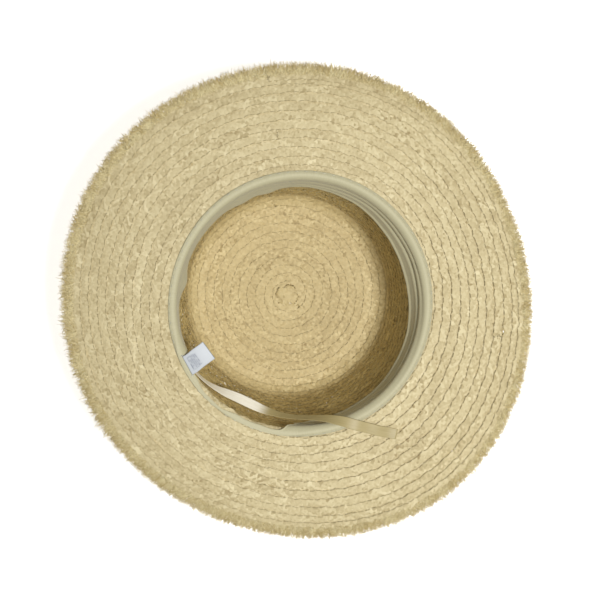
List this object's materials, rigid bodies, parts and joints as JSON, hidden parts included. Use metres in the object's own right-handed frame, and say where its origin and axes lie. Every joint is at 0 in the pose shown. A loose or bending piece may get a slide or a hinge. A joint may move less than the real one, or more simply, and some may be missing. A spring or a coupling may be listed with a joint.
{
  "type": "straw sun hat",
  "caption": "Wide-brimmed sun hat of sewn straw braid with a frayed edge, a grosgrain sweatband, a care label and a sizing ribbon, lying on its crown.",
  "frame": {"origin": "centre of the crown tip's outer face, which the hat lies on", "axes": "+Z out of the head opening, along the crown's axis; -Y the back of the hat, where the care label is; right-handed, so +X is the side the sizing ribbon's tail runs to"},
  "size_m": [0.3645, 0.3644, 0.1022],
  "materials": {
    "straw_braid": "dry plaited raffia, satin fibres with matt gaps",
    "frayed_straw": "loose raffia fibres, satin",
    "straw_thread": "fine cotton thread, matt",
    "grosgrain": "ribbed polyester ribbon, low sheen",
    "band_thread": "polyester thread, low sheen",
    "label_cloth": "printed nylon taffeta, smooth",
    "label_thread": "polyester thread, low sheen",
    "satin": "cream satin ribbon, soft gloss along its length"
  },
  "bodies": {
    "hat": {"tip_button": "straw_braid", "crown_tip": "straw_braid", "crown_side": "straw_braid", "brim": "straw_braid", "edge_fringe": "frayed_straw", "row_stitching": "straw_thread", "sweatband": "grosgrain", "sweatband_stitching": "band_thread", "label_stitches": "label_thread", "sizing_ribbon_tail": "satin", "sizing_ribbon_run": "satin", "ribbon_tack": "band_thread"},
    "label": {"care_label": "label_cloth"}
  },
  "joints": [
    {"name": "label_flap", "type": "hinge", "parent": "hat", "child": "label", "pos_m": [0, -0.0975, 0.1004], "axis": [1, 0, 0], "range_deg": [-8, 160], "stiffness_Nm_per_rad": 0.0004}
  ]
}
